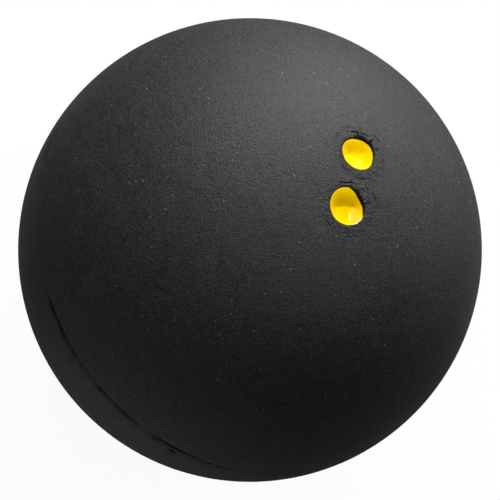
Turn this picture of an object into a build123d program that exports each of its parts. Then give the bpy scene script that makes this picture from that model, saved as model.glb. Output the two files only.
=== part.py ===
from build123d import *
import math
import os

# Squash ball: two moulded rubber half shells, butt-bonded at the seam, with two painted dimples in one half.
# Millimetres. The origin is the ball's centre, the seam lies in the XY plane, +Z runs out between the two
# dots and the dots lie along X.

# Ball
BALL_DIAMETER = 40.0
WALL = 5.2

# Seam: the cement stops short of the rims' rounded edges
BOND_THICKNESS = 0.12
BOND_SETBACK = 0.04
RIM_EDGE_RADIUS = 0.10

# Dimples: a flared bare lip above a cone with a blunt tip, angles in degrees
DOT_DIAMETER = 3.0
DOT_GAP = 2.0
LIP_DEPTH = 0.30
LIP_FLARE = 25.0
LIP_EDGE_RADIUS = 0.20
DIMPLE_SLOPE = 24.0
DIMPLE_TIP_RADIUS = 0.50

# Paint in the dimples: its rounded shoulder leaves at least this much of it flat at the lip
PAINT_THICKNESS = 0.18
PAINT_SHOULDER_RADIUS = 0.70
PAINT_EDGE_FLAT = 0.02

BALL_RADIUS = BALL_DIAMETER / 2
HOLLOW_RADIUS = BALL_RADIUS - WALL
RIM_HEIGHT = BOND_THICKNESS / 2
RIM_INNER_RADIUS = math.sqrt(HOLLOW_RADIUS**2 - RIM_HEIGHT**2)
RIM_OUTER_RADIUS = math.sqrt(BALL_RADIUS**2 - RIM_HEIGHT**2)
BOND_RADIUS = BALL_RADIUS - RIM_EDGE_RADIUS - BOND_SETBACK
DOT_RADIUS = DOT_DIAMETER / 2
DOT_TILT = math.degrees(math.asin((DOT_RADIUS + DOT_GAP / 2) / BALL_RADIUS))
DOT_PLACES = [Rot(0, -DOT_TILT, 0), Rot(0, DOT_TILT, 0)]
PAINT_EDGE_HEIGHT = math.sqrt(BALL_RADIUS**2 - DOT_RADIUS**2) - LIP_DEPTH
SLOPE = math.radians(DIMPLE_SLOPE)
FLARE = math.tan(math.radians(LIP_FLARE))


def turned(outline):
    """Turns a closed half outline, drawn as radius and height, once round Z."""
    return revolve(Plane.YZ * outline, Axis.Z)


def half_shell():
    """One half of the ball, with its rim just above the seam plane and its outer rim edge buffed round."""
    pole = (0, BALL_RADIUS)
    hollow_top = (0, HOLLOW_RADIUS)
    rim_outside = (RIM_OUTER_RADIUS, RIM_HEIGHT)
    rim_inside = (RIM_INNER_RADIUS, RIM_HEIGHT)
    outline = make_face(
        [
            RadiusArc(rim_outside, pole, -BALL_RADIUS),
            Line(pole, hollow_top),
            RadiusArc(hollow_top, rim_inside, HOLLOW_RADIUS),
            Line(rim_inside, rim_outside),
        ]
    )
    rim_corner = outline.vertices().sort_by(Axis.X)[-1]
    return turned(fillet(rim_corner, RIM_EDGE_RADIUS))


def bowl(edge_radius, edge_height, tip_radius):
    """The side and the blunt tip of a conical bowl, from its edge to the axis, and its lowest height."""
    apex = edge_height - edge_radius * math.tan(SLOPE)
    tip_centre = apex + tip_radius / math.cos(SLOPE)
    tangent = (tip_radius * math.sin(SLOPE), tip_centre - tip_radius * math.cos(SLOPE))
    lowest = tip_centre - tip_radius
    side = Line((edge_radius, edge_height), tangent)
    tip = RadiusArc(tangent, (0, lowest), tip_radius)
    return side, tip, lowest


def dimple():
    """The space cut for one dot: a flared lip that opens through the surface, above a conical bowl."""
    side, tip, lowest = bowl(DOT_RADIUS, PAINT_EDGE_HEIGHT, DIMPLE_TIP_RADIUS)
    top = BALL_RADIUS + LIP_DEPTH
    mouth = (DOT_RADIUS + (top - PAINT_EDGE_HEIGHT) * FLARE, top)
    rest = Polyline((0, lowest), (0, top), mouth, (DOT_RADIUS, PAINT_EDGE_HEIGHT))
    return turned(make_face([side, tip, rest]))


def dotted_half_shell():
    """The half with a dimple on each side of its pole, and the edges of both lips rounded."""
    blank = half_shell()
    dimples = [place * dimple() for place in DOT_PLACES]
    shell = blank - dimples
    lips = new_edges(blank, *dimples, combined=shell)
    return fillet(lips, LIP_EDGE_RADIUS)


def paint_cup():
    """The paint that lines one bowl, even in thickness, with a rounded shoulder below the lip."""
    flat = PAINT_THICKNESS / math.sin(SLOPE)
    outer_side, outer_tip, outer_lowest = bowl(DOT_RADIUS, PAINT_EDGE_HEIGHT, DIMPLE_TIP_RADIUS)
    inner_tip_radius = DIMPLE_TIP_RADIUS - PAINT_THICKNESS
    inner_side, inner_tip, inner_lowest = bowl(DOT_RADIUS - flat, PAINT_EDGE_HEIGHT, inner_tip_radius)
    shoulder = Line((DOT_RADIUS, PAINT_EDGE_HEIGHT), (DOT_RADIUS - flat, PAINT_EDGE_HEIGHT))
    axis = Line((0, outer_lowest), (0, inner_lowest))
    outline = make_face([outer_side, outer_tip, axis, inner_tip, inner_side, shoulder])
    corner = outline.vertices().sort_by_distance((DOT_RADIUS - flat, PAINT_EDGE_HEIGHT))[0]
    widest = (flat - PAINT_EDGE_FLAT) / math.tan(SLOPE / 2)
    return turned(fillet(corner, min(PAINT_SHOULDER_RADIUS, widest)))


def seam_bond():
    """The cement between the two rims, flush inside and recessed outside."""
    return Cylinder(BOND_RADIUS, BOND_THICKNESS) - Cylinder(RIM_INNER_RADIUS, BOND_THICKNESS)


os.makedirs("parts", exist_ok=True)
export_step(dotted_half_shell(), "parts/dotted_half_shell.step")
export_step(mirror(half_shell(), about=Plane.XY), "parts/plain_half_shell.step")
export_step(seam_bond(), "parts/seam_bond.step")
for side, place in zip(("left", "right"), DOT_PLACES):
    export_step(place * paint_cup(), f"parts/yellow_dot_{side}.step")
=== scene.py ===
import math
import random

import bmesh
import bpy
from mathutils import Matrix, Vector, noise


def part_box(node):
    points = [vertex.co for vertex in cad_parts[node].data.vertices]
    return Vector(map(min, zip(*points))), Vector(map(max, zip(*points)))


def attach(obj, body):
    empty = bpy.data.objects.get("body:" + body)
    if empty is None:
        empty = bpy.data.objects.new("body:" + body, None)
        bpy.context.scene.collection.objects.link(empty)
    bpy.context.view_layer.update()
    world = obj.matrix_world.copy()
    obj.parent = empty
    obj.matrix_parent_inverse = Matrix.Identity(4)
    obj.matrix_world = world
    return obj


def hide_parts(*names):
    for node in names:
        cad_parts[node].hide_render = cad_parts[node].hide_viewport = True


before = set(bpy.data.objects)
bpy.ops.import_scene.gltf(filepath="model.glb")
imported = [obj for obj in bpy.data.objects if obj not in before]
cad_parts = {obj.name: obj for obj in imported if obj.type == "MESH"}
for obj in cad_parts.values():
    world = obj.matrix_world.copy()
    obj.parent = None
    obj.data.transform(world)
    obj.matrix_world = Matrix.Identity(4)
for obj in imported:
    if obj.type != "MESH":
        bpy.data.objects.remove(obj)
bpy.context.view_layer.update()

# Lengths are metres in the frame of the solids: the seam lies in the XY plane, the dots along X and
# +Z between them
MM = 0.001
BALL_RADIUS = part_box("dotted_half_shell")[1][2]
RIM_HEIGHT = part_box("dotted_half_shell")[0][2]
WALL = 5.2 * MM
HOLLOW_RADIUS = BALL_RADIUS - WALL
RIM_INNER_RADIUS = math.sqrt(HOLLOW_RADIUS**2 - RIM_HEIGHT**2)

# Dimples: a bare flared lip, which may be nicked, above a painted bowl with a blunt tip
DOT_RADIUS = (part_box("yellow_dot_left")[1][1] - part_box("yellow_dot_left")[0][1]) / 2
DOT_SPACING = 5.0 * MM
DOT_LEVEL = math.sqrt(BALL_RADIUS**2 - DOT_RADIUS**2)
LIP_DEPTH = 0.30 * MM
LIP_WIDTH = 0.14 * MM
LIP_SOFTNESS = 0.22
LIP_DEEPEST = 1.2
LIP_REACH = 0.50 * MM
NICK_WIDTH = 0.42 * MM
NICK_FADE = (0.3, 1.0)
BOWL_TIP = 0.14
BOWL_POWER = 1.08
LARGEST_EXPONENT = 40

# Waves round a dimple, as share, swings and offset of the noise, and the means that they swing about
EDGE_WAVES = ((0.012, 5, 0), (0.006, 17, 0))
LIP_WAVES = ((0.25, 9, 3), (0.15, 30, 4))
NICK_MEAN = 0.25
NICK_WAVES = ((0.9, 26, 8), (0.5, 70, 9))
FLAKE_MEAN = 0.65
FLAKE_WAVES = ((0.6, 60, 21), (0.35, 140, 22))

# Paint in the dimples: how far its edge stands up and runs over the lip, and its ripples
PAINT_THICKNESS = 0.18 * MM
PAINT_EDGE = 0.010 * MM
PAINT_OVERLAP = 0.004 * MM
PAINT_RIPPLE_DEPTH = 0.006 * MM
PAINT_RIPPLES = 3.2

# Torn rubber round the lips
TORN_RADIUS = 3.1 * MM
TORN_FULL_RADIUS = 0.70 * TORN_RADIUS
TORN_DEPTH = 0.030 * MM
TORN_GRAIN = 0.22 * MM
TORN_MEAN = 0.3
TORN_FRACTAL = (0.8, 2.1, 3)

# Tears in it, which wander and break off. The small ones are drawn by chance, with their radius and
# depth in mm and their half length in degrees.
TEAR_WIDTH = 0.052 * MM
TEAR_WANDER = 0.12 * MM
TEAR_SWINGS = 14
TEAR_BREAKS = 34
TEAR_BREAK_OFFSET = 5
TEAR_BREAK_LEVELS = (-0.5, 0.2)
SMALL_TEARS = 14
SMALL_TEAR_RADII = (1.8, 2.6)
SMALL_TEAR_HALVES = (6, 18)
SMALL_TEAR_DEPTHS = (0.02, 0.05)

# Skin: low hollows left by buffing
SKIN_WAVE = 3.2 * MM
SKIN_WAVE_DEPTH = 0.012 * MM
SKIN_RIPPLE = 1.1 * MM
SKIN_RIPPLE_DEPTH = 0.005 * MM
SKIN_RIPPLE_OFFSET = Vector((7.1, 0, 0))

# Seam: open cracks and shallow valleys, as middle azimuth, half length and strength; flush in between.
# They fade towards their ends, and the valleys lie a little to the plain side.
CRACKS = ((-53.0, 5.2, 0.66), (-28.0, 5.0, 0.05), (-8.5, 7.0, 0.82), (5.0, 9.0, 0.12))
VALLEYS = ((-46.0, 15.0, 1.0), (-26.5, 11.0, 1.05), (-6.0, 18.0, 0.7))
END_FADE = (0.5, 1.0)
CRACK_DEPTH = 0.16 * MM
CRACK_WIDTH = 0.065 * MM
CRACK_POWER = 1.5
CRACK_MEAN = 0.75
CRACK_WAVES = ((1.2, 42), (0.8, 110))
CRACK_WIDEST = 1.3
VALLEY_DEPTH = 0.074 * MM
VALLEY_WIDTH = 0.46 * MM
VALLEY_OFFSET = 0.14 * MM
VALLEY_MEAN = 0.95
VALLEY_WAVE = 0.45
VALLEY_SWINGS = 30
VALLEY_LEVEL = 0.7

# Outside the azimuths that the photograph shows, noise stands in, at another level for each
SEAM_SEEN = (-62.0, 18.0)
SEAM_SEEN_FADE = 6.0
HIDDEN_SWINGS = 3.1
HIDDEN_SHARES = (0.05, 0.5)
HIDDEN_CRACK_LEVEL = 0.0
HIDDEN_VALLEY_LEVEL = 2.0

# Cement between the rims: how far its ragged edge lies under the skin where the seam is open
CEMENT_DROP = 0.30 * MM
CEMENT_LEAST = 0.03
CEMENT_RAGGED = 0.02 * MM
CEMENT_RAGS = 60

# Short tears beside the seam on the plain half, as azimuth and half length in degrees, distance from
# the rim and half width
DASHES = ((-13.3, 0.9, 0.42 * MM, 0.09 * MM), (-7.8, 0.9, 0.80 * MM, 0.20 * MM))
DASH_DEPTH = 0.17 * MM

# Mesh: columns and rings, how fast the rings grow, and the shares of a reach at which others lie
COLUMNS = 512
LEAST_COLUMNS = 16
MIDLINE_COLUMNS = 128
DOT_COLUMNS = 384
CAP_RADIUS = 7.0 * MM
CAP_RINGS, CAP_GROWTH = 24, 1.13
PATCH_RADIUS = 2.38 * MM
PATCH_RINGS = 14
LIP_RINGS = 14
BOWL_SHARES = (0.1, 0.3, 0.5, 0.75, 0.9, 0.97)
DOT_RINGS, DOT_GROWTH = 36, 0.985
DOT_OVER_LIP = (0.35, 0.7, 1.0)
DOT_UNDER_LIP = (1.0, 0.5)
DOT_UNDERSIDE = (0.97, 0.75, 0.5, 0.3, 0.1)
SKIN_RINGS = 48
RIM_BAND = 0.9 * MM
RIM_RINGS, RIM_GROWTH = 18, 0.86
RIM_FACE_SETBACK = 2.5 * CRACK_DEPTH
RIM_FACE_RINGS = 4
HOLLOW_RINGS = 20
HOLLOW_SPACING = 0.30 * MM
HOLLOW_TOP_ANGLE = 0.06
POLE_RINGS = 18
POLE_SPACING = 0.14 * MM
POLE_STEP = 0.4 * MM
CEMENT_LEVELS = (-1.0, -0.4, 0.4, 1.0)
WELD = 1e-8

# Rubber: mean greys, and its darkest, palest, torn and dusty greys as shares of them
DOTTED_TONE = 0.0225
PLAIN_TONE = 0.026
DARKEST = 0.1
PALEST = 1.9
TORN_TONE = 0.2
DUST_TONE = 7

# Grains of the rubber, as size in mm, detail and roughness; the mean of a grain is the same for all
MEAN = 0.5
MOTTLE_GRAIN = (1.6, 3.0)
BUFFED_GRAIN = (0.14, 1.0, 0.6)
COARSE_GRAIN = (0.50, 2.0)
TORN_SKIN_GRAIN = (0.26, 3.0, 0.65)
PIT_GRAIN = (0.13, 1.0, 0.6)

# How much the grains change its grey, its height in mm and its roughness
BUFFED_CONTRAST = 3.0
BUFFED_LEAST_CONTRAST = 0.3
MOTTLE_CONTRAST = 0.5
COARSE_CONTRAST = 0.6
BUFFED_HEIGHT = 0.06
COARSE_HEIGHT = 0.034
TORN_HEIGHT = 0.08
DUST_HEIGHT = 0.02
RUBBER_ROUGHNESS = 0.60
MOTTLE_ROUGHNESS = 0.10
BUFFED_ROUGHNESS = 0.40

# Its shine
RUBBER_SPECULAR = 0.50
RUBBER_SHEEN = 0.045
RUBBER_SHEEN_ROUGHNESS = 0.22

# Specks of dust on it, in mm, and paler patches, as middle, full reach, whole reach in mm and share
DUST_SPACING = 1.0
DUST_RADIUS = 0.085
DUST_FADE = (0.5, 1.3)
DUST_SHARE = 0.9
DUST_LEAST = 0.3
BESIDE_DOTS = ((7.4, 0.2, 18.6), 1.5, 7.5, 0.4)
BESIDE_SEAM = ((17.0, -9.0, -5.3), 3.0, 13.0, 0.6)

# Torn skin round the axes of the dots, raw rubber in pits, and shade painted near black where the skin lies
# deep, in mm
TORN_SKIN_REACH = (1.9, 2.8)
TORN_SKIN_LEVELS = (0.35, 0.60)
TORN_SKIN_SHARE = 0.6
PIT_STRENGTH = 2.45
SHADE_DEPTHS = (0.022, 0.12)
SHADE_SHARE = 0.85
RAW_AND_SHADE_GREYS = (0.002, 0.009)

# Cement: its grain as size in mm and detail, its bumps in mm, the depths in mm where shade is painted on
# it, and its greys
CEMENT_GRAIN = (0.12, 3.0)
CEMENT_HEIGHT = 0.03
CEMENT_SHADE_DEPTHS = (0.03, 0.15)
CEMENT_GREYS = (0.010, 0.030)
CEMENT_SHADE_GREYS = (0.002, 0.008)
CEMENT_ROUGHNESS = 0.60
CEMENT_LUMP_ROUGHNESS = 0.2
CEMENT_SPECULAR = 0.46

# Paint: its grains as size in mm and detail, its bumps in mm, and its colours
CLOUD_GRAIN = (0.7, 2.0)
CLOUD_HEIGHT = 0.004
PORE_GRAIN = (0.12, 2.0)
PORE_HEIGHT = 0.0007
PAINT_ROUGHNESS = 0.07
PORE_ROUGHNESS = 0.04
PAINT_SPECULAR = 0.029
PAINT_DEEP = (0.94, 0.59, 0.0, 1.0)
PAINT_BRIGHT = (0.98, 0.64, 0.0, 1.0)
PAINT_FLAKED = (0.95, 0.90, 0.55, 1.0)

# Where the right dot's paint has flaked: angle in degrees, radius, reach round that place and radii of
# the edge in mm, and levels of the pores
FLAKED_ANGLE = 58
FLAKED_RADIUS = 1.52
FLAKED_REACH = (0.6, 0.9)
FLAKED_EDGE = (1.49, 1.54)
FLAKED_LEVELS = (0.34, 0.52)

# Floor: white to the camera and faint in gloss; other light finds a painted pool of light on it, placed in
# mm
FLOOR_HALF = 3.0
PAPER_GRAIN = (1.5, 3.0)
PAPER_GREYS = (0.84, 0.88)
FLOOR_LIGHT_POOL = (40.0, -7.0, -20.0)
FLOOR_LIGHT_POOL_REACH = (10, 36)
FLOOR_LIGHT_POOL_GREYS = (0.52, 0.09)
FLOOR_WHITE = 0.95
FLOOR_GLOSS = 0.04
ROOM_GREYS = (0.015, 1.0)

# Light panels, as direction (right, up and towards the camera), distance, width and height, and
# radiance. The two small lamps give the glints in the dots.
PANELS = {
    "key_softbox": ((0.16, 0.86, 0.46), 0.60, (0.50, 0.18), 10.6),
    "back_panel": ((0.20, 0.97, -0.10), 0.60, (0.50, 0.20), 2.9),
    "rim_strip": ((0.56, 0.71, -0.42), 0.60, (0.60, 0.20), 2.7),
    "side_panel": ((0.92, 0.36, 0.02), 0.60, (0.32, 0.32), 2.7),
    "front_fill": ((0.05, 0.27, 1.0), 0.70, (0.90, 0.60), 0.95),
    "front_lamp": ((0.440, 0.827, 0.350), 0.60, (0.037, 0.037), 118.0),
    "back_lamp": ((0.470, 0.873, -0.120), 0.60, (0.037, 0.037), 152.0),
}

# Camera: the photograph's direction, roll and framing
CAMERA_DISTANCE = 0.345
CAMERA_AZIMUTH = 51.07
CAMERA_ELEVATION = 58.5
CAMERA_ROLL = 55.57
FRAME_PIXELS = 500
BALL_PIXELS = 464.1
SENSOR = 36.0
UP = Vector((0, 0, 1))


def smooth(low, high, x):
    """0 at low, 1 at high, eased between them."""
    t = min(max((x - low) / (high - low), 0.0), 1.0)
    return t * t * (3 - 2 * t)


def wrapped(degrees):
    """The same direction, from -180 to 180 degrees."""
    return (degrees + 180) % 360 - 180


def ring_point(radius, azimuth, height):
    """A point that far from the Z axis, and that high."""
    return Vector((radius * math.cos(azimuth), radius * math.sin(azimuth), height))


def steps(start, stop, count, growth=1.0):
    """Count numbers after start, up to stop, each step growth times the one before."""
    weights = [growth**i for i in range(count)]
    total = sum(weights)
    values, reached = [], 0.0
    for weight in weights:
        reached += weight
        values.append(start + (stop - start) * reached / total)
    return values


def azimuths(count):
    """Evenly spaced azimuths that begin at -90 degrees."""
    return [-math.pi / 2 + 2 * math.pi * i / count for i in range(count)]


class Shape:
    """The points and faces of one piece while its rings are joined."""

    def __init__(self):
        self.points = []
        self.faces = []

    def ring(self, points):
        """Adds points and returns their numbers."""
        start = len(self.points)
        self.points.extend(points)
        return list(range(start, len(self.points)))

    def join(self, one, other):
        """Faces between two closed rings, of which one may have twice the points of the other."""
        if len(one) > len(other):
            one, other = other, one
        count = len(one)
        for i in range(count):
            j = (i + 1) % count
            if len(other) == count:
                self.faces.append((one[i], one[j], other[j], other[i]))
            else:
                near, mid, far = other[2 * i], other[2 * i + 1], other[(2 * i + 2) % len(other)]
                self.faces.append((one[i], mid, near))
                self.faces.append((one[i], one[j], mid))
                self.faces.append((one[j], far, mid))

    def chain(self, rings):
        """Adds rings, joins each to the next and returns their numbers."""
        numbers = [self.ring(ring) for ring in rings]
        for one, other in zip(numbers, numbers[1:]):
            self.join(one, other)
        return numbers

    def close(self, ring, point):
        """Faces from a ring to one point."""
        tip = self.ring([point])[0]
        for i, here in enumerate(ring):
            self.faces.append((here, ring[(i + 1) % len(ring)], tip))

    def piece(self, name, material, node, slot):
        """Makes the finished object, which stands for a node of the solids."""
        mesh = bpy.data.meshes.new(name)
        mesh.from_pydata(self.points, [], self.faces)
        work = bmesh.new()
        work.from_mesh(mesh)
        bmesh.ops.remove_doubles(work, verts=work.verts, dist=WELD)
        bmesh.ops.recalc_face_normals(work, faces=work.faces)
        for face in work.faces:
            face.smooth = True
        work.to_mesh(mesh)
        work.free()
        mesh.materials.append(material)
        piece = bpy.data.objects.new(name, mesh)
        bpy.context.collection.objects.link(piece)
        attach(piece, "root")
        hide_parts(node)


class Dimple:
    """One painted dimple. Angles go round its axis, from the side away from the pole.

    Flats of its outline, the high side of its lip, the shoulders of its bowl, nicks of the lip and
    flakes of the paint are degrees, half width in degrees and share. Its depth is in mm, its crease is
    degrees, half length and offset in mm, and its tears are degrees, half length in degrees, radius and
    depth in mm.
    """

    def __init__(self, side, size, flats, high_side, shoulders, depth, crease, nicks, tears, flakes, seed):
        tilt = math.asin(DOT_SPACING / 2 / BALL_RADIUS)
        self.axis = Vector((side * math.sin(tilt), 0, math.cos(tilt)))
        self.across = Vector((side * math.cos(tilt), 0, -math.sin(tilt)))
        self.along = self.axis.cross(self.across)
        self.size = size
        self.flats = flats
        self.high_side = high_side
        self.shoulders = shoulders
        self.depth = depth * MM
        self.crease = crease
        self.nicks = nicks
        self.tears = list(tears)
        self.flakes = flakes
        self.seed = seed
        chance = random.Random(int(seed * 10))
        for _ in range(SMALL_TEARS):
            radius = chance.uniform(*SMALL_TEAR_RADII)
            degrees = chance.uniform(0, 360)
            half = chance.uniform(*SMALL_TEAR_HALVES)
            self.tears.append((degrees, half, radius, chance.uniform(*SMALL_TEAR_DEPTHS)))

    def rough(self, angle, swings, offset):
        """Noise that closes on itself round the dimple, with about that many swings."""
        return noise.noise(ring_point(swings / 3, angle, self.seed + offset))

    def waves(self, angle, waves):
        """The sum at an angle of waves, each a share, swings and an offset of the noise."""
        return sum(share * self.rough(angle, swings, offset) for share, swings, offset in waves)

    def away(self, angle, degrees):
        """The turn between an angle and one given in degrees, in degrees."""
        return abs(wrapped(math.degrees(angle) - degrees))

    def swell(self, angle, degrees, half):
        """1 at an angle given in degrees, falling to nothing round it."""
        return math.exp(-((self.away(angle, degrees) / half) ** 2))

    def out(self, angle):
        """The direction away from the axis at an angle."""
        return self.across * math.cos(angle) + self.along * math.sin(angle)

    def edge(self, angle):
        """The radius of the paint's edge."""
        flat = sum(cut * self.swell(angle, degrees, half) for degrees, half, cut in self.flats)
        return DOT_RADIUS * (self.size - flat + self.waves(angle, EDGE_WAVES))

    def torn(self, radius, angle):
        """How far the torn rubber round the lip lies under the skin."""
        fade = 1 - smooth(TORN_FULL_RADIUS, TORN_RADIUS, radius)
        if fade == 0:
            return 0.0
        spot = self.out(angle) * (radius / TORN_GRAIN) + Vector((0, 0, self.seed))
        drop = fade * TORN_DEPTH * max(TORN_MEAN + noise.fractal(spot, *TORN_FRACTAL), 0.0)
        for degrees, half, middle, depth in self.tears:
            reach = self.away(angle, degrees) / half
            if reach < 1:
                wander = TEAR_WANDER * self.rough(angle, TEAR_SWINGS, middle)
                across = (radius - middle * MM - wander) / TEAR_WIDTH
                level = self.rough(angle, TEAR_BREAKS, middle + TEAR_BREAK_OFFSET)
                broken = smooth(*TEAR_BREAK_LEVELS, level)
                drop += depth * MM * broken * (1 - reach**2) * math.exp(-across**2)
        return drop

    def low(self, angle):
        """How much of the lip is missing away from its high side."""
        degrees, half, share = self.high_side
        return share * (1 - self.swell(angle, degrees, half))

    def lip(self, radius, angle):
        """How far the lip lies under the skin, from bare skin outside to the paint's edge inside."""
        width = LIP_WIDTH * (1 + self.waves(angle, LIP_WAVES))
        for degrees, half, share in self.nicks:
            near = 1 - smooth(*NICK_FADE, self.away(angle, degrees) / half)
            jag = max(NICK_MEAN + self.waves(angle, NICK_WAVES), 0.0)
            width += NICK_WIDTH * share * near * jag
        inward = (self.edge(angle) + width - radius) / width
        rounded = LIP_SOFTNESS * math.log1p(math.exp(min(inward / LIP_SOFTNESS, LARGEST_EXPONENT)))
        return LIP_DEPTH * (1 - self.low(angle)) * min(rounded, LIP_DEEPEST)

    def surface(self, radius, angle, drop=0.0):
        """A point that far from the axis, that far under the true ball."""
        height = math.sqrt(BALL_RADIUS**2 - radius**2) - drop
        return self.axis * height + self.out(angle) * radius

    def skin(self, radius, angle):
        """A point of the rubber outside the paint."""
        buffed = skin_drop(self.surface(radius, angle))
        return self.surface(radius, angle, buffed + self.torn(radius, angle) + self.lip(radius, angle))

    def floor(self, reach, angle):
        """How far the paint lies under the ball: a blunt cone, fuller or hollower at its shoulders."""
        blunt = math.hypot(1, BOWL_TIP)
        cone = max(blunt - math.hypot(reach, BOWL_TIP), 0.0) / (blunt - BOWL_TIP)
        rim = self.lip(self.edge(angle), angle)
        bulge = sum(share * self.swell(angle, degrees, half) for degrees, half, share in self.shoulders)
        return rim + (self.depth - rim) * cone ** (BOWL_POWER + bulge)

    def crease_point(self, angle):
        """The place on the crease that belongs to an angle, seen along the axis."""
        degrees, half, offset = self.crease
        turn = math.radians(degrees)
        lengthwise = self.out(turn) * (half * MM * math.cos(angle - turn))
        return lengthwise + self.out(turn + math.pi / 2) * (offset * MM)

    def bowl(self, share, angle, under):
        """A point that far under the paint's face; share is 0 at the crease and 1 at the paint's edge."""
        edge = self.edge(angle)
        flat = self.crease_point(angle).lerp(self.out(angle) * edge, share)
        level = DOT_LEVEL * (1 - share) + math.sqrt(BALL_RADIUS**2 - edge**2) * share
        return flat + self.axis * (level - self.floor(share, angle) - under)

    def bottom(self, under):
        """The middle of the crease, that far under the paint's face."""
        degrees, _, offset = self.crease
        middle = self.out(math.radians(degrees) + math.pi / 2) * (offset * MM)
        return middle + self.axis * (DOT_LEVEL - self.depth - under)

    def polar(self, point):
        """The radius and angle of a point round the axis."""
        flat = point - self.axis * point.dot(self.axis)
        return flat.length, math.atan2(point.dot(self.along), point.dot(self.across))


# The left dot is the photograph's upper one, the right dot its lower one
DIMPLES = {
    "left": Dimple(
        side=-1,
        size=1.03,
        flats=((20, 52, 0.20), (-85, 42, 0.15), (150, 40, -0.04)),
        high_side=(-20, 60, 0.70),
        shoulders=((22, 60, 0.35), (195, 70, -0.36)),
        depth=0.66,
        crease=(112, 0.62, -0.17),
        nicks=((-14, 62, 1.4), (150, 40, 0.25)),
        tears=(
            (12, 34, 1.86, 0.15), (-36, 11, 2.42, 0.15), (-61, 10, 1.80, 0.12), (-111, 7, 2.6, 0.10),
            (-85, 12, 2.25, 0.08), (97, 8, 2.95, 0.08), (70, 16, 2.3, 0.07), (150, 22, 2.2, 0.07),
        ),
        flakes=((35, 10, 0.02),),
        seed=3.7,
    ),
    "right": Dimple(
        side=1,
        size=1.07,
        flats=((140, 40, 0.23), (80, 50, 0.07)),
        high_side=(128, 58, 0.82),
        shoulders=((200, 60, 1.0), (5, 70, -0.36)),
        depth=0.66,
        crease=(110, 0.60, 0.0),
        nicks=((146, 58, 1.0), (-60, 40, 0.25)),
        tears=(
            (195, 26, 1.95, 0.13), (127, 10, 2.65, 0.14), (118, 8, 1.80, 0.10), (103, 8, 2.75, 0.12),
            (150, 12, 2.35, 0.09), (80, 12, 2.2, 0.08), (20, 14, 2.6, 0.07), (-35, 20, 2.4, 0.07),
        ),
        flakes=((FLAKED_ANGLE, 30, 0.075), (-31, 12, 0.03), (192, 9, 0.03)),
        seed=11.3,
    ),
}


def skin_drop(point):
    """How far the buffed skin lies under the true ball."""
    wide = 0.5 + 0.5 * noise.noise(point / SKIN_WAVE)
    small = 0.5 + 0.5 * noise.noise(point / SKIN_RIPPLE + SKIN_RIPPLE_OFFSET)
    return SKIN_WAVE_DEPTH * wide + SKIN_RIPPLE_DEPTH * small


def seam_noise(azimuth, swings, level=0.0):
    """Noise that closes on itself round the seam; another level gives other noise."""
    return noise.noise(ring_point(1.0, azimuth, level) * swings)


def seam_share(azimuth, stretches, hidden_level):
    """The strength of cracks or valleys at an azimuth."""
    degrees = wrapped(math.degrees(azimuth))
    strength = 0.0
    for middle, half, amount in stretches:
        strength = max(strength, amount * (1 - smooth(*END_FADE, abs(degrees - middle) / half)))
    low, high = SEAM_SEEN
    from_low = smooth(low, low + SEAM_SEEN_FADE, degrees)
    to_high = 1 - smooth(high - SEAM_SEEN_FADE, high, degrees)
    by_chance = smooth(*HIDDEN_SHARES, seam_noise(azimuth, HIDDEN_SWINGS, hidden_level))
    return max(strength, (1 - from_low * to_high) * by_chance)


def crack(azimuth):
    """How far the seam stands open, nibbled along its length."""
    nibbled = CRACK_MEAN + sum(share * seam_noise(azimuth, swings) for share, swings in CRACK_WAVES)
    return seam_share(azimuth, CRACKS, HIDDEN_CRACK_LEVEL) * min(max(nibbled, 0.0), CRACK_WIDEST)


def valley(height, azimuth, side):
    """How deep the shallow valley of the seam is, at a distance from the rim."""
    uneven = VALLEY_MEAN + VALLEY_WAVE * seam_noise(azimuth, VALLEY_SWINGS, VALLEY_LEVEL)
    across = (height + side * VALLEY_OFFSET) / VALLEY_WIDTH
    strength = seam_share(azimuth, VALLEYS, HIDDEN_VALLEY_LEVEL)
    return VALLEY_DEPTH * strength * uneven * math.exp(-across**2)


def seam_drop(height, azimuth, side=1):
    """How far the skin is drawn in beside the seam, at a distance from the rim."""
    opened = crack(azimuth) * math.exp(-((height / CRACK_WIDTH) ** CRACK_POWER))
    drop = CRACK_DEPTH * opened + valley(height, azimuth, side)
    if side < 0:
        degrees = wrapped(math.degrees(azimuth))
        for middle, half, below, width in DASHES:
            across = (height - below) / width
            drop += DASH_DEPTH * math.exp(-(((degrees - middle) / half) ** 2) - across**2)
    return drop


def shell_point(polar_angle, azimuth, side):
    """A point of the outer skin; side is 1 on the dotted half and -1 on the plain one."""
    direction = ring_point(math.sin(polar_angle), azimuth, side * math.cos(polar_angle))
    point = direction * BALL_RADIUS
    height = max(abs(point.z) - RIM_HEIGHT, 0.0)
    drop = skin_drop(point) + seam_drop(height, azimuth, side)
    if side > 0:
        for dimple in DIMPLES.values():
            radius, angle = dimple.polar(point)
            if radius < TORN_RADIUS:
                drop += dimple.torn(radius, angle)
    return direction * (BALL_RADIUS - drop)


def cap_outline(side):
    """One half of the polar cap's edge, then the line between the dots, seen along Z."""
    turn = 0.0 if side > 0 else math.pi
    half = COLUMNS // 2
    outline = []
    for i in range(half + 1):
        azimuth = -math.pi / 2 + math.pi * i / half + turn
        outline.append(ring_point(CAP_RADIUS, azimuth, 0.0).xy)
    corner = math.atan2(CAP_RADIUS, DOT_SPACING / 2)
    for i in range(1, MIDLINE_COLUMNS):
        y = DOT_SPACING / 2 * math.tan(corner * (1 - 2 * i / MIDLINE_COLUMNS))
        outline.append(Vector((0, side * y)))
    return outline


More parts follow.
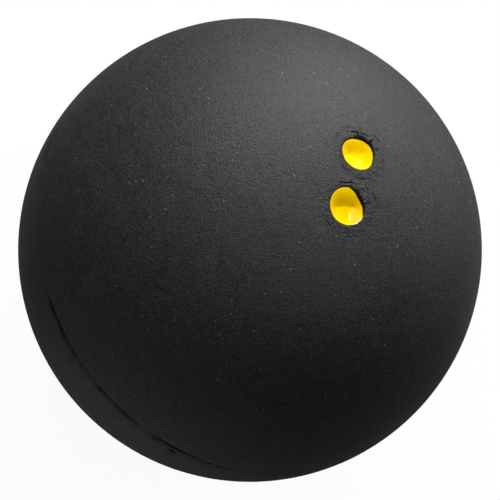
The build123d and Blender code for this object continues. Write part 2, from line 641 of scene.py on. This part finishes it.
def dimple_patch(shape, dimple, side):
    """The skin from the bottom of a dimple out to its half of the polar cap."""
    outline = cap_outline(side)
    centre = Vector((side * DOT_SPACING / 2, 0))
    angles = []
    for target in outline:
        way = target - centre
        angles.append(math.atan2(way.y * side, way.x * side))
    rings = []
    for share in BOWL_SHARES:
        rings.append([dimple.bowl(share, a, PAINT_THICKNESS * (1 - share**2)) for a in angles])
    for share in steps(0.0, 1.0, LIP_RINGS):
        rings.append([dimple.skin(dimple.edge(a) + share * LIP_REACH, a) for a in angles])
    for share in steps(0.0, 1.0, PATCH_RINGS):
        ring = []
        for a in angles:
            start = dimple.edge(a) + LIP_REACH
            ring.append(dimple.skin(start + (PATCH_RADIUS - start) * share, a))
        rings.append(ring)
    inner = [dimple.surface(PATCH_RADIUS, a) for a in angles]
    for share in steps(0.0, 1.0, CAP_RINGS, CAP_GROWTH):
        ring = []
        for start, target in zip(inner, outline):
            flat = start.xy.lerp(target, share)
            polar_angle = math.asin(flat.length / BALL_RADIUS)
            ring.append(shell_point(polar_angle, math.atan2(flat.y, flat.x), 1))
        rings.append(ring)
    numbers = shape.chain(rings)
    shape.close(numbers[0], dimple.bottom(PAINT_THICKNESS))


def lower_shell(shape, start, side):
    """Skin from a polar angle down to the rim, then across it and up inside; returns its first ring."""
    rim_angle = math.acos(RIM_HEIGHT / BALL_RADIUS)
    band_angle = rim_angle - RIM_BAND / BALL_RADIUS
    polar_angles = steps(start, band_angle, SKIN_RINGS)
    polar_angles += steps(band_angle, rim_angle, RIM_RINGS, RIM_GROWTH)
    rings = [[shell_point(p, a, side) for a in azimuths(COLUMNS)] for p in polar_angles]
    for radius in steps(BALL_RADIUS - RIM_FACE_SETBACK, RIM_INNER_RADIUS, RIM_FACE_RINGS):
        rings.append([ring_point(radius, a, side * RIM_HEIGHT) for a in azimuths(COLUMNS)])
    count = COLUMNS
    hollow_angle = math.acos(RIM_HEIGHT / HOLLOW_RADIUS)
    for polar_angle in steps(hollow_angle, HOLLOW_TOP_ANGLE, HOLLOW_RINGS):
        radius = HOLLOW_RADIUS * math.sin(polar_angle)
        height = side * HOLLOW_RADIUS * math.cos(polar_angle)
        if count > LEAST_COLUMNS and count * HOLLOW_SPACING > 2 * math.pi * radius:
            count //= 2
        rings.append([ring_point(radius, a, height) for a in azimuths(count)])
    numbers = shape.chain(rings)
    shape.close(numbers[-1], Vector((0, 0, side * HOLLOW_RADIUS)))
    return numbers[0]


def dotted_half(material):
    """The half that carries the dots."""
    shape = Shape()
    dimple_patch(shape, DIMPLES["right"], 1)
    dimple_patch(shape, DIMPLES["left"], -1)
    start = math.asin(CAP_RADIUS / BALL_RADIUS)
    edge = shape.ring([shell_point(start, a, 1) for a in azimuths(COLUMNS)])
    shape.join(edge, lower_shell(shape, start, 1))
    shape.piece("dotted_half", material, "dotted_half_shell", "buffed_rubber")


def plain_half(material):
    """The half without dots, whose rings start at its pole and double their points as they widen."""
    shape = Shape()
    start = math.asin(CAP_RADIUS / BALL_RADIUS)
    rings = []
    count = LEAST_COLUMNS
    for polar_angle in steps(0.0, start, POLE_RINGS):
        ideal = 2 * math.pi * BALL_RADIUS * math.sin(polar_angle) / POLE_SPACING
        if count < COLUMNS and ideal > 2 * count:
            count *= 2
        rings.append([shell_point(polar_angle, a, -1) for a in azimuths(count)])
    while count < COLUMNS:
        count *= 2
        start += POLE_STEP / BALL_RADIUS
        rings.append([shell_point(start, a, -1) for a in azimuths(count)])
    numbers = shape.chain(rings)
    shape.close(numbers[0], shell_point(0.0, 0.0, -1))
    shape.join(numbers[-1], lower_shell(shape, start, -1))
    shape.piece("plain_half", material, "plain_half_shell", "buffed_rubber")


def seam_cement(material):
    """The ring of cement between the rims, whose outer edge follows the open stretches."""
    shape = Shape()
    rings = []
    for level in CEMENT_LEVELS:
        ring = []
        for a in azimuths(COLUMNS):
            opened = crack(a)
            skin = skin_drop(ring_point(1.0, a, 0.0) * BALL_RADIUS)
            ragged = CEMENT_RAGGED * noise.noise(ring_point(CEMENT_RAGS, a, level)) * opened
            drop = skin + seam_drop(0.0, a) + CEMENT_DROP * (CEMENT_LEAST + opened) - ragged
            ring.append(ring_point(BALL_RADIUS - drop, a, level * RIM_HEIGHT))
        rings.append(ring)
    for level in (1.0, -1.0):
        rings.append([ring_point(RIM_INNER_RADIUS, a, level * RIM_HEIGHT) for a in azimuths(COLUMNS)])
    numbers = shape.chain(rings)
    shape.join(numbers[-1], numbers[0])
    shape.piece("seam_cement", material, "seam_bond", "rubber_cement")


def flake(dimple, angle):
    """How far the paint runs over the lip at an angle, in ragged flakes."""
    reach = PAINT_OVERLAP
    for degrees, half, share in dimple.flakes:
        window = 1 - smooth(*END_FADE, dimple.away(angle, degrees) / half)
        ragged = max(FLAKE_MEAN + dimple.waves(angle, FLAKE_WAVES), 0.0)
        reach += DOT_RADIUS * share * window * ragged
    return reach


def yellow_dot(name, dimple, material):
    """The paint that lines one dimple: its face, its edge over the lip and its underside."""
    shape = Shape()
    angles = [2 * math.pi * i / DOT_COLUMNS for i in range(DOT_COLUMNS)]
    rings = []
    for share in steps(0.0, 1.0, DOT_RINGS, DOT_GROWTH):
        ring = []
        for a in angles:
            ripple = noise.noise(ring_point(share, a, dimple.seed) * PAINT_RIPPLES)
            ring.append(dimple.bowl(share, a, PAINT_RIPPLE_DEPTH * ripple * (1 - share) - PAINT_EDGE))
        rings.append(ring)
    for lift, shares in ((PAINT_EDGE, DOT_OVER_LIP), (-PAINT_EDGE / 2, DOT_UNDER_LIP)):
        for share in shares:
            ring = []
            for a in angles:
                radius = dimple.edge(a) + flake(dimple, a) * share
                ring.append(dimple.surface(radius, a, dimple.lip(radius, a) - lift))
            rings.append(ring)
    for share in DOT_UNDERSIDE:
        under = PAINT_THICKNESS * (1 - share**2) - PAINT_EDGE / 2
        rings.append([dimple.bowl(share, a, under) for a in angles])
    numbers = shape.chain(rings)
    shape.close(numbers[0], dimple.bottom(-PAINT_EDGE))
    shape.close(numbers[-1], dimple.bottom(PAINT_THICKNESS - PAINT_EDGE / 2))
    shape.piece(f"dot_paint_{name}", material, f"yellow_dot_{name}", "dot_paint")


class Value:
    """A socket of a node tree. Arithmetic on it adds Math nodes."""

    def __init__(self, finish, socket):
        self.finish = finish
        self.socket = socket

    def math(self, operation, other):
        """A Math node on this value and another."""
        return self.finish.node("ShaderNodeMath", {"operation": operation}, {0: self, 1: other})

    def __add__(self, other):
        return self.math("ADD", other)

    def __sub__(self, other):
        return self.math("SUBTRACT", other)

    def __rsub__(self, other):
        return self.finish.node("ShaderNodeMath", {"operation": "SUBTRACT"}, {0: other, 1: self})

    def __mul__(self, other):
        return self.math("MULTIPLY", other)

    __radd__ = __add__
    __rmul__ = __mul__

    def eased(self, low, high):
        """0 at low, 1 at high, eased between them."""
        sockets = {"Value": self, "From Min": low, "From Max": high}
        return self.finish.node("ShaderNodeMapRange", {"interpolation_type": "SMOOTHSTEP"}, sockets)


class Finish:
    """The node tree of a material or of the room."""

    def __init__(self, owner):
        owner.use_nodes = True
        self.owner = owner
        self.tree = owner.node_tree
        self.tree.nodes.clear()

    def node(self, kind, settings=None, sockets=None, output=0):
        """Any node: its type, its settings, which are set first, and the values or links of its sockets.

        It gives the output that is named, or a list of outputs for a tuple of names.
        """
        made = self.tree.nodes.new(kind)
        for key, setting in (settings or {}).items():
            setattr(made, key, setting)
        for key, given in (sockets or {}).items():
            socket = made.inputs[key]
            if isinstance(given, Value):
                self.tree.links.new(given.socket, socket)
            else:
                socket.default_value = given
        if isinstance(output, tuple):
            return [Value(self, made.outputs[name]) for name in output]
        return Value(self, made.outputs[output]) if made.outputs else None

    def millimetres(self):
        """The place on the object, in millimetres."""
        sockets = {"Vector": self.node("ShaderNodeTexCoord", output="Object"), "Scale": 1 / MM}
        return self.node("ShaderNodeVectorMath", {"operation": "SCALE"}, sockets)

    def length(self, vector):
        """The length of a vector."""
        return self.node("ShaderNodeVectorMath", {"operation": "LENGTH"}, {0: vector}, "Value")

    def distance(self, place, point):
        """The distance of a place from a point."""
        return self.node("ShaderNodeVectorMath", {"operation": "DISTANCE"}, {0: place, 1: point}, "Value")

    def from_axis(self, place, axis):
        """The distance of a place from an axis through the ball's centre."""
        cross = self.node("ShaderNodeVectorMath", {"operation": "CROSS_PRODUCT"}, {0: place, 1: axis})
        return self.length(cross)

    def deep(self, place, low, high):
        """0 at one depth under the true ball and 1 at another, in millimetres."""
        return (BALL_RADIUS / MM - self.length(place)).eased(low, high)

    def grain(self, place, size, detail, roughness=0.5):
        """Noise from 0 to 1 with grains of that size in millimetres."""
        sockets = {"Vector": place, "Scale": 1 / size, "Detail": detail, "Roughness": roughness}
        return self.node("ShaderNodeTexNoise", None, sockets, "Fac")

    def dust(self, place):
        """A mask of small round specks, some fainter than others."""
        sockets = {"Vector": place, "Scale": 1 / DUST_SPACING}
        distance, colour = self.node("ShaderNodeTexVoronoi", None, sockets, ("Distance", "Color"))
        inner, outer = [share * DUST_RADIUS / DUST_SPACING for share in DUST_FADE]
        pick = self.node("ShaderNodeSeparateColor", None, {"Color": colour}, "Red")
        return (1 - distance.eased(inner, outer)) * pick.math("LESS_THAN", DUST_SHARE) * (DUST_LEAST + pick)

    def mix(self, share, one, other):
        """A colour between two."""
        return self.node("ShaderNodeMix", {"data_type": "RGBA"}, {"Factor": share, 6: one, 7: other}, 2)

    def greys(self, share, one, other):
        """A grey between two levels."""
        return self.mix(share, grey(one), grey(other))

    def bump(self, height):
        """A normal from a height in millimetres."""
        sockets = {"Height": height, "Distance": MM, "Strength": 1.0}
        return self.node("ShaderNodeBump", None, sockets, "Normal")

    def principled(self, sockets):
        """A Principled shader with these sockets."""
        return self.node("ShaderNodeBsdfPrincipled", None, sockets)

    def between(self, share, one, other):
        """A mix of two shaders."""
        return self.node("ShaderNodeMixShader", None, {0: share, 1: one, 2: other})

    def surface(self, shader):
        """Ends the material in a shader, and returns the material."""
        self.node("ShaderNodeOutputMaterial", None, {"Surface": shader})
        return self.owner


def grey(level):
    """A grey colour."""
    return (level, level, level, 1.0)


def buffed_rubber(name, tone, paler):
    """Matt black rubber, buffed, torn round the dots and pitted with unbuffed rubber, with shade painted
    near black where it lies deep; tone is its mean grey.
    """
    finish = Finish(bpy.data.materials.new(name))
    place = finish.millimetres()
    mottle = finish.grain(place, *MOTTLE_GRAIN)
    fine = finish.grain(place, *BUFFED_GRAIN)
    coarse = finish.grain(place, *COARSE_GRAIN)
    torn = finish.grain(place, *TORN_SKIN_GRAIN)
    dust = finish.dust(place)
    left, right = [finish.from_axis(place, dimple.axis) for dimple in DIMPLES.values()]
    near = 1 - left.math("MINIMUM", right).eased(*TORN_SKIN_REACH)
    middle, inner, outer, most = paler
    patch = (1 - finish.distance(place, middle).eased(inner, outer)) * most

    contrast = mottle * BUFFED_CONTRAST + BUFFED_LEAST_CONTRAST
    share = MEAN + (fine - MEAN) * contrast
    share = share + (mottle - MEAN) * MOTTLE_CONTRAST + (coarse - MEAN) * COARSE_CONTRAST
    torn_share = near * torn.eased(*TORN_SKIN_LEVELS) * TORN_SKIN_SHARE
    colour = finish.greys(share, DARKEST * tone, PALEST * tone)
    colour = finish.mix(torn_share, colour, grey(TORN_TONE * tone))
    colour = finish.mix(patch, colour, grey(PALEST * tone))
    colour = finish.mix(dust, colour, grey(DUST_TONE * tone))
    height = fine * BUFFED_HEIGHT + coarse * COARSE_HEIGHT + near * torn * TORN_HEIGHT + dust * DUST_HEIGHT
    uneven = (mottle - MEAN) * MOTTLE_ROUGHNESS + (fine - MEAN) * BUFFED_ROUGHNESS
    skin = finish.principled({
        "Base Color": colour,
        "Roughness": RUBBER_ROUGHNESS + uneven,
        "Specular IOR Level": RUBBER_SPECULAR,
        "Sheen Weight": RUBBER_SHEEN,
        "Sheen Roughness": RUBBER_SHEEN_ROUGHNESS,
        "Normal": finish.bump(height),
    })

    raw_rubber_and_shade = finish.principled({
        "Base Color": finish.greys(fine, *RAW_AND_SHADE_GREYS),
        "Roughness": 1.0,
        "Specular IOR Level": 0.0,
    })
    pits = ((finish.grain(place, *PIT_GRAIN) - MEAN) * PIT_STRENGTH).math("MAXIMUM", 0.0)
    # Painted shade: skin lying deep in the seam's cracks and valleys and in the dimples' lips and tears
    # turns to the near-black shader, as the real raw pits do
    bare = (finish.deep(place, *SHADE_DEPTHS) * SHADE_SHARE).math("MAXIMUM", pits)
    return finish.surface(finish.between(bare, skin, raw_rubber_and_shade))


def rubber_cement():
    """Cured black cement, a little smoother and darker than the skin, with shade painted darker where it
    lies deep in the seam.
    """
    finish = Finish(bpy.data.materials.new("rubber_cement"))
    place = finish.millimetres()
    lumps = finish.grain(place, *CEMENT_GRAIN)
    shallow = finish.greys(lumps, *CEMENT_GREYS)
    # Painted shade: the cement's greys where it lies deep in the open seam
    dark = finish.greys(lumps, *CEMENT_SHADE_GREYS)
    return finish.surface(finish.principled({
        "Base Color": finish.mix(finish.deep(place, *CEMENT_SHADE_DEPTHS), shallow, dark),
        "Roughness": CEMENT_ROUGHNESS + lumps * CEMENT_LUMP_ROUGHNESS,
        "Specular IOR Level": CEMENT_SPECULAR,
        "Normal": finish.bump(lumps * CEMENT_HEIGHT),
    }))


def dot_paint():
    """Glossy yellow paint, a little uneven where it dried and paler where it flakes on the lip."""
    finish = Finish(bpy.data.materials.new("dot_paint"))
    place = finish.millimetres()
    clouds = finish.grain(place, *CLOUD_GRAIN)
    pores = finish.grain(place, *PORE_GRAIN)
    flaked = DIMPLES["right"]
    spot = flaked.surface(FLAKED_RADIUS * MM, math.radians(FLAKED_ANGLE)) / MM
    near = 1 - finish.distance(place, spot).eased(*FLAKED_REACH)
    at_edge = finish.from_axis(place, flaked.axis).eased(*FLAKED_EDGE)
    flakes = at_edge * near * pores.eased(*FLAKED_LEVELS)
    return finish.surface(finish.principled({
        "Base Color": finish.mix(flakes, finish.mix(clouds, PAINT_DEEP, PAINT_BRIGHT), PAINT_FLAKED),
        "Roughness": PAINT_ROUGHNESS + pores * PORE_ROUGHNESS,
        "Specular IOR Level": PAINT_SPECULAR,
        "Normal": finish.bump(clouds * CLOUD_HEIGHT + pores * PORE_HEIGHT),
    }))


def white_floor():
    """A plain floor, white to the camera with a faint shadow, dim in gloss, clear from below, with a
    painted pool of light.
    """
    finish = Finish(bpy.data.materials.new("white_floor"))
    rays = ("Is Camera Ray", "Is Glossy Ray", "Is Transmission Ray")
    camera_ray, glossy, through = finish.node("ShaderNodeLightPath", output=rays)
    seen = camera_ray + through
    place = finish.millimetres()
    paper = finish.greys(finish.grain(place, *PAPER_GRAIN), *PAPER_GREYS)
    # Painted light: a paler spot that only other rays see, a pool of light whose bounce brightens the
    # ball's lower side
    beside_light_pool = finish.distance(place, FLOOR_LIGHT_POOL).eased(*FLOOR_LIGHT_POOL_REACH)
    matt = finish.principled({
        "Base Color": finish.mix(seen, finish.greys(beside_light_pool, *FLOOR_LIGHT_POOL_GREYS), paper),
        "Roughness": 1.0,
        "Specular IOR Level": 0.0,
    })
    glow = finish.node("ShaderNodeEmission", None, {"Color": grey(1.0), "Strength": 1.0})
    shown = finish.between(seen * FLOOR_WHITE + glossy * FLOOR_GLOSS, matt, glow)
    below = finish.node("ShaderNodeNewGeometry", output="Backfacing")
    clear = finish.node("ShaderNodeBsdfTransparent")
    return finish.surface(finish.between(below * camera_ray, shown, clear))


def dim_room():
    """The world: white to the camera and nearly dark to the ball."""
    room = bpy.data.worlds.new("room")
    finish = Finish(room)
    camera_ray = finish.node("ShaderNodeLightPath", output="Is Camera Ray")
    sockets = {"Color": finish.greys(camera_ray, *ROOM_GREYS), "Strength": 1.0}
    light = finish.node("ShaderNodeBackground", None, sockets)
    finish.node("ShaderNodeOutputWorld", None, {"Surface": light})
    return room


def camera_axes():
    """The photograph's right, up and towards-the-camera directions."""
    azimuth, elevation = math.radians(CAMERA_AZIMUTH), math.radians(CAMERA_ELEVATION)
    flat = math.cos(elevation)
    toward = Vector((math.sin(azimuth) * flat, -math.cos(azimuth) * flat, math.sin(elevation)))
    level = UP.cross(toward).normalized()
    right = Matrix.Rotation(math.radians(CAMERA_ROLL), 3, toward) @ level
    return right, toward.cross(right), toward


def facing(right, up, back, place):
    """A matrix at a place whose -Z looks away from back."""
    turned = Matrix((right, up, back)).transposed().to_4x4()
    return Matrix.Translation(place) @ turned


def camera():
    """The camera at the photograph's angle, with the ball as large in the frame."""
    right, up, toward = camera_axes()
    lens = bpy.data.cameras.new("camera")
    limb = BALL_RADIUS / math.sqrt(CAMERA_DISTANCE**2 - BALL_RADIUS**2)
    lens.sensor_width = SENSOR
    lens.lens = SENSOR * BALL_PIXELS / FRAME_PIXELS / (2 * limb)
    seen = bpy.data.objects.new("camera", lens)
    seen.matrix_world = facing(right, up, toward, toward * CAMERA_DISTANCE)
    bpy.context.collection.objects.link(seen)
    bpy.context.scene.camera = seen


def panel(name, direction, distance, size, radiance):
    """A light panel that faces the ball."""
    right, up, toward = camera_axes()
    back = (right * direction[0] + up * direction[1] + toward * direction[2]).normalized()
    side = UP.cross(back).normalized()
    light = bpy.data.lights.new(name, "AREA")
    light.shape = "RECTANGLE"
    light.size, light.size_y = size
    light.energy = radiance * math.pi * size[0] * size[1]
    lamp = bpy.data.objects.new(name, light)
    lamp.matrix_world = facing(side, back.cross(side), back, back * distance)
    bpy.context.collection.objects.link(lamp)


def studio():
    """The floor, the light panels and the dim room."""
    mesh = bpy.data.meshes.new("floor")
    corners = []
    for x, y in ((-1, -1), (1, -1), (1, 1), (-1, 1)):
        corners.append((x * FLOOR_HALF, y * FLOOR_HALF, -BALL_RADIUS))
    mesh.from_pydata(corners, [], [(0, 1, 2, 3)])
    mesh.materials.append(white_floor())
    floor = bpy.data.objects.new("floor", mesh)
    bpy.context.collection.objects.link(floor)
    for name, facts in PANELS.items():
        panel(name, *facts)
    bpy.context.scene.world = dim_room()
    bpy.context.scene.view_settings.view_transform = "Standard"


paint = dot_paint()
dotted_half(buffed_rubber("buffed_rubber", DOTTED_TONE, BESIDE_DOTS))
plain_half(buffed_rubber("buffed_rubber_plain", PLAIN_TONE, BESIDE_SEAM))
seam_cement(rubber_cement())
for name, dimple in DIMPLES.items():
    yellow_dot(name, dimple, paint)
camera()
studio()
